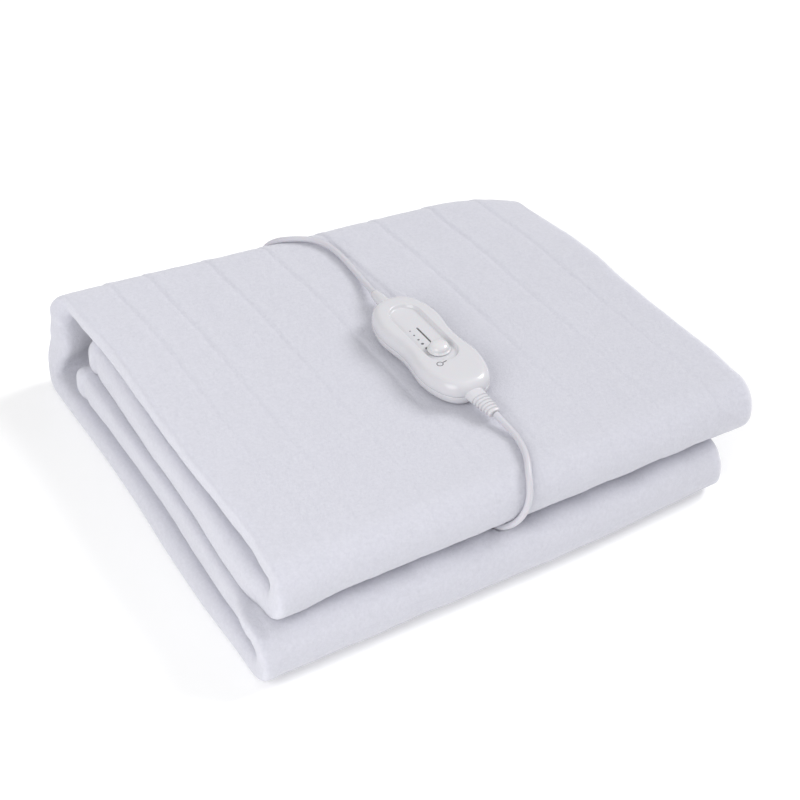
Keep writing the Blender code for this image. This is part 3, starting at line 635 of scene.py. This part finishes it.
# %% Relief of the outer skin
LUMP, LUMP_LENGTH = 0.75 * MM, 34 * MM
DIMPLE, DIMPLE_LENGTH, DIMPLE_SLICE = 0.30 * MM, 9 * MM, 0.1
PUCKER, PUCKER_LENGTH, PUCKER_DRAW, PUCKER_SLICE = 3.0 * MM, 26 * MM, 3, 7.3   # drawn out along the strip
PUCKER_RISE, PUCKER_FALL = (36 * MM, 43 * MM), (49 * MM, 60 * MM)    # heights of the gap's band
PUCKER_Y = -150 * MM
FLOOR_FREE = (1.0 * MM, 9.0 * MM)            # heights over which the relief comes in


def skin_relief(x, travelled, spot):
    """How far the outer skin stands out at x across and so far along; spot is its place in Y-Z."""
    lump = noise.noise(Vector((x, travelled, 0.0)) / LUMP_LENGTH)
    dimple = noise.noise(Vector((x, travelled, DIMPLE_SLICE)) / DIMPLE_LENGTH)
    relief = LUMP * lump + DIMPLE * dimple
    if spot.x < PUCKER_Y:
        band = smooth_step(spot.y, *PUCKER_RISE) * (1 - smooth_step(spot.y, *PUCKER_FALL))
        spread = Vector((x / PUCKER_LENGTH, travelled / PUCKER_LENGTH / PUCKER_DRAW, PUCKER_SLICE))
        relief += PUCKER * band * noise.noise(spread)
    return relief * smooth_step(spot.y, *FLOOR_FREE)


print("lumps and puckers in mm:", round(LUMP / MM, 2), round(PUCKER / MM, 2))

# %% [markdown]
# ### Making room for the lead
#
# The lead goes in between the two rolls, which press on each other, so the cloth has to give way round
# it. Near the lead, the lower roll is held below a shallow valley and the upper one above its mirror
# image, and no point of the skin may come nearer to the lead's middle than a little over its radius.

# %% Yield to the lead
LEAD_CLEAR = 2.62 * MM
VALLEY_WIDTH, VALLEY_DEPTH = 7.5 * MM, 6.0 * MM
VALLEY_REACH, ALONG_WEIGHT = 1.2, 0.3   # in widths, and how little a distance along the lead counts
MOUTH_Y, MOUTH_Z, INSIDE_Z = -112 * MM, (38 * MM, 54 * MM), 56 * MM
FRONT_FREE = 4 * MM                     # the upper roll gives way from so far in front of the lead
inside_points = [point for point in blanket_points if point.z < INSIDE_Z]
print("points of the lead inside the mouth:", len(inside_points))


def yielded(spot, is_lower):
    """Move a point of the outer skin out of the lead's way."""
    if spot.y < MOUTH_Y and MOUTH_Z[0] < spot.z < MOUTH_Z[1]:
        near = min(inside_points, key=lambda point: (point - spot).length_squared)
        aside = math.hypot(spot.x - near.x, ALONG_WEIGHT * (spot.y - near.y)) / VALLEY_WIDTH
        if aside < VALLEY_REACH:
            room = LEAD_CLEAR - VALLEY_DEPTH * aside ** 2
            if is_lower:
                spot.z = min(spot.z, near.z - room)
            elif spot.y > near.y - FRONT_FREE:
                spot.z = max(spot.z, near.z + room)
    near = min(blanket_points, key=lambda point: (point - spot).length_squared)
    away = spot - near
    if away.length < LEAD_CLEAR:
        spot = near + away.normalized() * LEAD_CLEAR
    return spot


# %% One row of the blanket
def strip_section(station):
    """The outer and the inner skin of the doubled strip at one point of its path."""
    point, normal, ply, travelled, (left, right, air, ribs, swell_out, swell_in) = station
    left, right = left * MM, right * MM
    middle = (ply + air) / 2
    fold_x = left + (PLY + air) / 2 + PLY / 2
    skins = ([], [])
    for x, degrees in across(left, right):
        power = OUTER_POWER if degrees < 180 else INNER_POWER
        rise = signed_power(math.sin(math.radians(degrees)), power)
        reach = signed_power(math.cos(math.radians(degrees)), power)
        near_fold = 1 - smooth_step(x - left, *SWELL_REACH) if x is not None else 1.0
        swell = (swell_out if rise > 0 else swell_in) * MM * near_fold * rise
        rib = rib_relief(x, left) * ribs if x is not None and degrees == 90.0 else 0.0
        relief = 0.0
        if degrees < 270.0:
            relief = skin_relief(x if x is not None else left, travelled, point + normal * middle * rise)
        for skin, offset in zip(skins, (ply / 2 + rib + relief, -ply / 2)):
            spot = point + normal * ((middle + offset) * rise + swell)
            place = x if x is not None else fold_x + (middle + offset) * reach
            skin.append(settled(place, spot.x, max(spot.y, 0.0)) + ORIGIN)
    return skins


# %% Build the blanket
def make_blanket():
    """The folded sheet as one closed mesh: two skins, joined along all four free edges."""
    bm = bmesh.new()
    grid = []
    lower_from = STATIONS[-1][3] / 2
    for station in STATIONS:
        outer, inner = strip_section(station)
        if station[0].x < MOUTH_Y + MOUTH_DEPTH:
            outer = [yielded(spot, station[3] > lower_from) for spot in outer]
        grid.append([[bm.verts.new(spot) for spot in skin] for skin in (outer, inner)])
    count = len(grid[0][0])
    for near, far in zip(grid, grid[1:]):
        for skin in (0, 1):
            for index in range(count - 1):
                bm.faces.new((near[skin][index], near[skin][index + 1],
                              far[skin][index + 1], far[skin][index]))
        for edge in (0, count - 1):
            bm.faces.new((near[0][edge], far[0][edge], far[1][edge], near[1][edge]))
    for end in (grid[0], grid[-1]):
        for index in range(count - 1):
            bm.faces.new((end[0][index], end[1][index], end[1][index + 1], end[0][index + 1]))
    return add_piece("fleece_blanket", bm, fleece, ["blanket"], sharp=75)


blanket = make_blanket()

# %% [markdown]
# ## The controller
#
# The controller is a waisted plastic case in two shells, which meet in a fine joint. Its outline is a
# squared ellipse whose sides are drawn in at the waist. The upper shell carries on from its rounded rim
# over the top, down the soft edge of the recess and across the recess floor, so it is lofted as one run
# of rings that change from the outline into the recess. Cutting the recess out of a closed shell would
# leave a hard edge that is difficult to round.

# %% Measures of the case
CASE = Vector((10.5, -26.0, 91.1)) * MM + ORIGIN
CASE_LENGTH, END_WIDTH, WAIST_WIDTH = 126.0 * MM, 53.0 * MM, 45.0 * MM
WAIST_REACH, OUTLINE_POWER = 0.56, 2.9
CASE_STEPS = 144
TOP_HEIGHT = 18.7
TRACK_Y, TRACK_LENGTH, TRACK_WIDTH, TRACK_DEPTH = 9.0 * MM, 77.0 * MM, 25.0 * MM, 2.6
LOWER_PROFILE = ((0.0, 5.2), (0.2, 3.9), (0.8, 2.3), (1.8, 1.2), (3.2, 0.55), (5.0, 0.2), (7.2, 0.0),
                 (7.6, 0.08), (7.85, 0.45))        # height and inset, in mm
UPPER_PROFILE = ((8.15, 0.45), (8.4, 0.08), (8.8, 0.0), (10.5, 0.12), (12.4, 0.42), (14.2, 0.95),
                 (15.7, 1.75), (16.9, 2.8), (17.8, 4.0), (18.35, 5.3), (18.62, 6.8), (18.7, 8.6))
RECESS_EDGE = ((18.7, 1.0), (18.62, 0.45), (18.35, 0.1), (17.9, -0.22), (17.2, -0.65), (16.6, -1.0),
               (16.25, -1.35), (16.1, -1.9))       # height, and how far outside the track's edge
print("rings down to the recess floor:", len(UPPER_PROFILE) + len(RECESS_EDGE))


# %% The case's outline
def case_outline(inset):
    """The waisted outline, drawn in by an inset in mm, as points about its middle."""
    points = []
    for angle in angles(CASE_STEPS):
        along = signed_power(math.cos(angle), 2 / OUTLINE_POWER)
        aside = signed_power(math.sin(angle), 2 / OUTLINE_POWER)
        widening = math.sin(min(1.0, abs(along) / WAIST_REACH) * math.pi / 2) ** 2
        width = (WAIST_WIDTH + (END_WIDTH - WAIST_WIDTH) * widening) / 2
        points.append((aside * (width - inset * MM), along * (CASE_LENGTH / 2 - inset * MM)))
    return points


print("widest in mm:", round(2 * max(x for x, y in case_outline(0.0)) / MM, 1))


# %% The outline of a slot
def stadium_outline(width, length, middle_y):
    """A slot's outline along Y, with points in step with those of the case's outline."""
    radius, half = width / 2, (length - width) / 2
    quarter = math.pi * radius / 2
    side = []
    for step in range(CASE_STEPS // 2):
        gone = step / CASE_STEPS * 4 * (quarter + half)
        if gone < quarter:
            angle = gone / radius
            side.append((radius * math.sin(angle), half + radius * math.cos(angle)))
        elif gone < quarter + 2 * half:
            side.append((radius, half - (gone - quarter)))
        else:
            angle = (gone - quarter - 2 * half) / radius
            side.append((radius * math.cos(angle), -half - radius * math.sin(angle)))
    return [(x * way, y * way + middle_y) for way in (1, -1) for x, y in side]


# %% Levels and blends of outlines
def level(points, height):
    return [(x, y, height * MM) for x, y in points]


def blended(first, second, share):
    return [between(one, other, share) for one, other in zip(first, second)]


def even_case(inset):
    """The case's outline with its points spaced evenly, starting at its far end."""
    points = case_outline(inset)
    return evenly(points + [points[0]], CASE_STEPS)[:-1]


def case_rings(profile):
    return [level(even_case(inset), height) for height, inset in profile]


# %% Lower shell
add_piece("controller_lower_shell", loft(case_rings(LOWER_PROFILE)), shell_plastic,
          ["controller_base"], place=CASE, sharp=50)

# %% Upper shell
SLOT_WIDTH, SLOT_LENGTH, SLOT_Y, SLOT_DROPS = 1.7 * MM, 36.0 * MM, 0.5 * MM, (0.0, 0.25, 3.2)
TOP_SHARES, FLOOR_SHARES = (0.3, 0.6, 0.85), (0.3, 0.6, 0.9)     # of the way to the next edge
FLOOR_HEIGHT = TOP_HEIGHT - TRACK_DEPTH


def track_outline(outside):
    """The recess's edge, moved outwards by so many mm."""
    return stadium_outline(TRACK_WIDTH + 2 * outside * MM, TRACK_LENGTH + 2 * outside * MM, TRACK_Y)


rim = even_case(UPPER_PROFILE[-1][1])
edge = track_outline(RECESS_EDGE[0][1])
slot_edge = stadium_outline(SLOT_WIDTH, SLOT_LENGTH, SLOT_Y)
floor_edge = track_outline(RECESS_EDGE[-1][1])
rings = case_rings(UPPER_PROFILE)
rings += [level(blended(rim, edge, share), TOP_HEIGHT) for share in TOP_SHARES]
rings += [level(track_outline(outside), height) for height, outside in RECESS_EDGE]
rings += [level(blended(floor_edge, slot_edge, share), FLOOR_HEIGHT) for share in FLOOR_SHARES]
rings += [level(slot_edge, FLOOR_HEIGHT - drop) for drop in SLOT_DROPS]
add_piece("controller_upper_shell", loft(rings), shell_plastic, ["controller_top"],
          place=CASE, sharp=50)

# %% Painted shade inside the slit
SLIT_DEPTHS, SLIT_NARROW, SLIT_SHORT = (1.4, 0.9), 0.98, 0.995   # a hair inside the slit's own walls
slit_ring = stadium_outline(SLOT_WIDTH * SLIT_NARROW, SLOT_LENGTH * SLIT_SHORT, SLOT_Y)
add_piece("controller_slit", loft([level(slit_ring, FLOOR_HEIGHT - depth) for depth in SLIT_DEPTHS]),
          slit_painted_shade, place=CASE)

# %% [markdown]
# ### The slider knob
#
# The knob is a low dome with a flat collar, turned round its own axis. It is the only piece that moves,
# so it rides on the slider's body.

# %% Slider knob
KNOB_Y = -13.5 * MM
KNOB_PROFILE = (                 # each ring's height and radius, in mm
    (0.3, 8.3), (0.55, 8.7), (1.1, 8.8), (1.5, 8.5), (1.75, 8.0), (2.1, 7.7), (3.0, 7.5), (4.0, 7.3),
    (5.0, 6.5), (5.8, 5.3), (6.3, 3.9), (6.6, 2.2), (6.7, 0.7))
KNOB_SIDES = 64


def circle(radius, sides, x=0.0, y=0.0):
    """Points round a circle that is given in mm."""
    return [(x * MM + radius * MM * math.cos(angle), y * MM + radius * MM * math.sin(angle))
            for angle in angles(sides)]


knob_rings = [level(circle(radius, KNOB_SIDES), height) for height, radius in KNOB_PROFILE]
add_piece("slider_dome", loft(knob_rings), knob_plastic, ["slider_knob"], SLIDER,
          place=CASE + Vector((0, KNOB_Y, FLOOR_HEIGHT * MM)))

# %% [markdown]
# ### Printed marks
#
# Five dots along the slit grow with the heat setting, and a ring with a dash marks the off position.
# They are ink, a few hundredths of a millimetre thick, so each is a very thin disc or bar on the
# plastic, which stays sharp from any distance, as a painted texture would not.

# %% Dots
INK_THICK = 0.05
DOTS = ((16.9, 0.62), (10.8, 0.72), (4.5, 0.85), (-1.2, 1.15), (-7.6, 1.35))     # y and radius, in mm
DOT_X, DOT_SIDES = -6.7, 24

marks = bmesh.new()
for y, radius in DOTS:
    disc = circle(radius, DOT_SIDES, DOT_X, y)
    join_rings(marks, [level(disc, FLOOR_HEIGHT), level(disc, FLOOR_HEIGHT + INK_THICK)])
add_piece("setting_dots", marks, ink, place=CASE)

# %% Off mark
RING_CENTRE, RING_OUTER, RING_INNER, RING_STEPS = (-10.2, -31.6), 2.6, 1.95, 40
DASH_START, DASH_END, DASH_HALF = Vector((-7.3, -31.1)), Vector((-3.9, -30.5)), 0.42    # in mm

section = ((RING_OUTER, 0.0), (RING_OUTER, INK_THICK), (RING_INNER, INK_THICK), (RING_INNER, 0.0))
marks = loft([level(circle(radius, RING_STEPS, *RING_CENTRE), TOP_HEIGHT + up) for radius, up in section],
             hoop=True)
aside = (DASH_END - DASH_START).orthogonal().normalized() * DASH_HALF
corners = [DASH_START + aside, DASH_END + aside, DASH_END - aside, DASH_START - aside]
join_rings(marks, [level([corner * MM for corner in corners], TOP_HEIGHT + up) for up in (0.0, INK_THICK)])
add_piece("off_mark", marks, ink, place=CASE)

# %% [markdown]
# ### Strain reliefs
#
# Where a lead enters the case, a flexible sleeve keeps it from being bent sharply. The near one is a
# broad, flattened sleeve with slots moulded across it, so that it bends like a spring. The far one is
# a plain short taper.

# %% Measures of the reliefs
RELIEF_LENGTH, RELIEF_Z, RELIEF_GAP, RELIEF_DROP = 23.0, 8.2, 0.2, 2.6
RELIEF_SIDES, RELIEF_HEADING = 40, 84
RIDGES, RIDGE_FIRST, RIDGE_PITCH = 6, 5.2, 2.9
SLOT_CUT = ((0.0, 0.0), (0.15, 0.55), (0.35, 1.0), (1.05, 1.0), (1.25, 0.55), (1.4, 0.0))
ROOT_DEPTH, TIP_CUT = 2.5, ((-1.2, 0.0), (-0.5, 0.18), (-0.12, 0.45), (0.0, 0.8))
CUT_DEPTH, RELIEF_POWER = 0.85, 0.86
print("slots:", RIDGES)


# %% Rings of a relief
def ring_across(along, wide, high, sides, powers=(1.0, 1.0)):
    """A ring across X from its half-width and half-height in mm, squared off where powers are under 1."""
    return [(along * MM, signed_power(math.cos(angle), powers[0]) * wide * MM,
             signed_power(math.sin(angle), powers[1]) * high * MM) for angle in angles(sides)]


def relief_rings(start, end, slotted):
    """Rings along X from half-widths and half-heights at the two ends, with slots cut round it."""
    stations = [(-ROOT_DEPTH, 0.0), (0.0, 0.0)]
    for ridge in range(RIDGES if slotted else 0):
        stations += [(RIDGE_FIRST + RIDGE_PITCH * ridge + along, cut) for along, cut in SLOT_CUT]
    stations += [(RELIEF_LENGTH + along, cut) for along, cut in TIP_CUT]
    rings = []
    for along, cut in stations:
        share = max(0.0, along) / RELIEF_LENGTH
        wide, high = (half - cut * CUT_DEPTH for half in between(start, end, share))
        rings.append(ring_across(along, wide, high, RELIEF_SIDES, (RELIEF_POWER, RELIEF_POWER)))
    return rings


# %% Place the reliefs
def add_relief(name, node, root, heading, drop, start, end, slotted):
    """A sleeve from its root, heading so many degrees round and dropping so many mm to its tip."""
    bm = loft(relief_rings(start, end, slotted))
    pitch = Matrix.Rotation(math.asin(drop / RELIEF_LENGTH), 4, "Y")
    bmesh.ops.transform(bm, matrix=Matrix.Rotation(math.radians(heading), 4, "Z") @ pitch, verts=bm.verts)
    return add_piece(name, bm, shell_plastic, [node], place=root, sharp=35)


reach = CASE_LENGTH / 2 + RELIEF_GAP * MM
for name, node, way, start, end in (("near_strain_relief", "relief_near", -1, (7.5, 4.4), (5.0, 3.3)),
                                    ("far_strain_relief", "relief_far", 1, (5.6, 4.9), (3.6, 3.3))):
    add_relief(name, node, CASE + Vector((0, way * reach, RELIEF_Z * MM)), way * RELIEF_HEADING, RELIEF_DROP,
               start, end, slotted=way < 0)

# %% [markdown]
# ## Plug, tie and inlet
#
# The plug is a plain two-pin one: a rounded, slightly tapering body with a slotted sleeve, and two round
# pins with insulated roots. The tie is a flat strap round the coil. The inlet is the flat moulded piece
# by which the lead enters the cloth, between the two flaps.

# %% Plug
PLUG = Vector((18.6, 228.0, 7.0)) * MM + ORIGIN
PLUG_LENGTH, PLUG_WIDTH, PLUG_THICK = 34.0, 25.0, 14.0
PLUG_PROFILE = ((0.0, 0.80), (0.5, 0.90), (1.6, 0.97), (3.5, 1.0), (12.0, 0.985), (20.0, 0.93), (27.0, 0.915),
                (31.5, 0.91), (33.2, 0.885), (34.0, 0.82))      # along in mm, share of the section
PLUG_POWERS, PLUG_STEPS = (0.55, 0.62), 56

plug_rings = [ring_across(along, PLUG_WIDTH / 2 * share, PLUG_THICK / 2 * share, PLUG_STEPS, PLUG_POWERS)
              for along, share in PLUG_PROFILE]
plug_pieces = [add_piece("plug_shell", loft(plug_rings), shell_plastic, ["plug_body"],
                         place=PLUG)]

# %% Pins
PIN_LENGTH, PIN_PITCH, PIN_R, PIN_SLEEVE, PIN_SIDES = 19.0, 19.0, 2.0, 9.0, 32
SLEEVE_PROFILE = ((-0.5, 0.15), (PIN_SLEEVE, 0.15), (PIN_SLEEVE + 0.2, 0.35))       # along, inset, in mm
PIN_PROFILE = ((PIN_SLEEVE, 0.3), (PIN_SLEEVE + 0.15, 0.0), (PIN_LENGTH - 1.2, 0.0),
               (PIN_LENGTH - 0.5, 0.35), (PIN_LENGTH - 0.1, 0.9), (PIN_LENGTH, 1.4))


def pin_part(profile):
    return loft([ring_across(along, PIN_R - inset, PIN_R - inset, PIN_SIDES) for along, inset in profile])


for side, way in (("left", 1), ("right", -1)):
    place = PLUG + Vector((PLUG_LENGTH, way * PIN_PITCH / 2, 0)) * MM
    plug_pieces += [add_piece(f"plug_prong_{side}_root", pin_part(SLEEVE_PROFILE), sheath,
                              place=place),
                    add_piece(f"plug_prong_{side}", pin_part(PIN_PROFILE), pin_metal,
                              [f"plug_pin_{side}"], place=place)]

# %% The plug's sleeve
SLEEVE_GAP, SLEEVE_DROP = 0.1, 1.5
plug_pieces.append(add_relief("plug_sleeve", "plug_relief", PLUG - Vector((SLEEVE_GAP, 0, 0)) * MM, 180,
                              SLEEVE_DROP, (5.0, 5.0), (3.3, 3.3), slotted=True))
print("pieces of the plug:", len(plug_pieces))

# %% Tie
TIE_DEGREES, TIE_HEIGHT = 200, 8.8
TIE_HALF, TIE_STRAP, TIE_WIDTH, TIE_POWER, TIE_STEPS = 8.0, 0.8, 6.0, 0.45, 48

tie_rings = []
for angle in angles(TIE_STEPS):
    spot = Vector((signed_power(math.cos(angle), TIE_POWER), 0, signed_power(math.sin(angle), TIE_POWER)))
    tie_rings.append([spot * (TIE_HALF + up) * MM + Vector((0, side * TIE_WIDTH / 2 * MM, 0))
                      for up, side in ((0, -1), (TIE_STRAP, -1), (TIE_STRAP, 1), (0, 1))])
tie = loft(tie_rings, hoop=True)
bmesh.ops.transform(tie, matrix=Matrix.Rotation(math.radians(TIE_DEGREES), 4, "Z"), verts=tie.verts)
coil_strap = add_piece("coil_strap", tie, sheath, ["coil_tie"],
                       place=Vector(at_coil(TIE_DEGREES, COIL_R, TIE_HEIGHT)) * MM + ORIGIN)

# %% Inlet
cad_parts["lead_inlet"].data.materials.clear()
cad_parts["lead_inlet"].data.materials.append(shell_plastic)
print("the inlet's finish:", shell_plastic.name)

# %% [markdown]
# ## The soft pieces
#
# The two leads, at their real lengths, and the blanket, at the size it was cut to, are the soft pieces.

# %% Soft pieces
print("declared:", blanket_cable.name, mains_cable.name, blanket.name)

# %% [markdown]
# ## Floor and light
#
# The pack stands on a plain white floor that glows very faintly, so that it stays white round the pack.
# The picture is bright and nearly shadowless, as in a light tent: most of the light comes from the whole
# sky. A broad, distant light from the right gives the gentle shadows to the left of the controller and
# the leads, and is even over the whole floor. A large lamp on the left opens up the folded end and takes
# the pack's own shadow off the floor.

# %% Floor
FLOOR_SIZE, FLOOR_Z = 12.0, -0.0002      # in metres, a hair below the cloth
FLOOR_TONE, FLOOR_GLOW = (0.89, 0.89, 0.89), 0.16
floor_bm = bmesh.new()
bmesh.ops.create_grid(floor_bm, x_segments=1, y_segments=1, size=FLOOR_SIZE / 2)
floor_mesh = bpy.data.meshes.new("floor")
floor_bm.to_mesh(floor_mesh)
floor_bm.free()
floor = put_in_scene("floor", floor_mesh)
floor.location.z = FLOOR_Z
floor_mesh.materials.append(new_finish("pale_floor", FLOOR_TONE, 0.9, Specular_IOR_Level=0.0,
                                       Emission_Strength=FLOOR_GLOW))
print("floor of", FLOOR_SIZE, "m")

# %% Lamps and sky
FILL_AT, FILL_SIZE, FILL_POWER = Vector((-1.45, -0.8, 1.1)), 1.5, 19.0
KEY_FROM, KEY_ANGLE, KEY_POWER = Vector((0.80, -0.06, 0.75)), math.radians(26), 1.75
SKY, LIT_POINT = 0.58, Vector((0.0, 0.0, 0.05))


def add_light(name, kind, place, power):
    """A light at a place, turned towards the middle of the pack."""
    light = bpy.data.lights.new(name, kind)
    light.energy = power
    aim(name, light, place, LIT_POINT - place)
    return light


add_light("key_light", "SUN", KEY_FROM, KEY_POWER).angle = KEY_ANGLE
fill = add_light("fill_lamp", "AREA", FILL_AT, FILL_POWER)
fill.shape, fill.size = "DISK", FILL_SIZE
world = bpy.data.worlds.new("light_tent")
bpy.context.scene.world = world
world.use_nodes = True
background = world.node_tree.nodes["Background"].inputs
background["Color"].default_value, background["Strength"].default_value = (1.0, 1.0, 1.0, 1.0), SKY
bpy.context.scene.view_settings.view_transform = "Standard"
print("lights:", [light.name for light in bpy.data.lights])
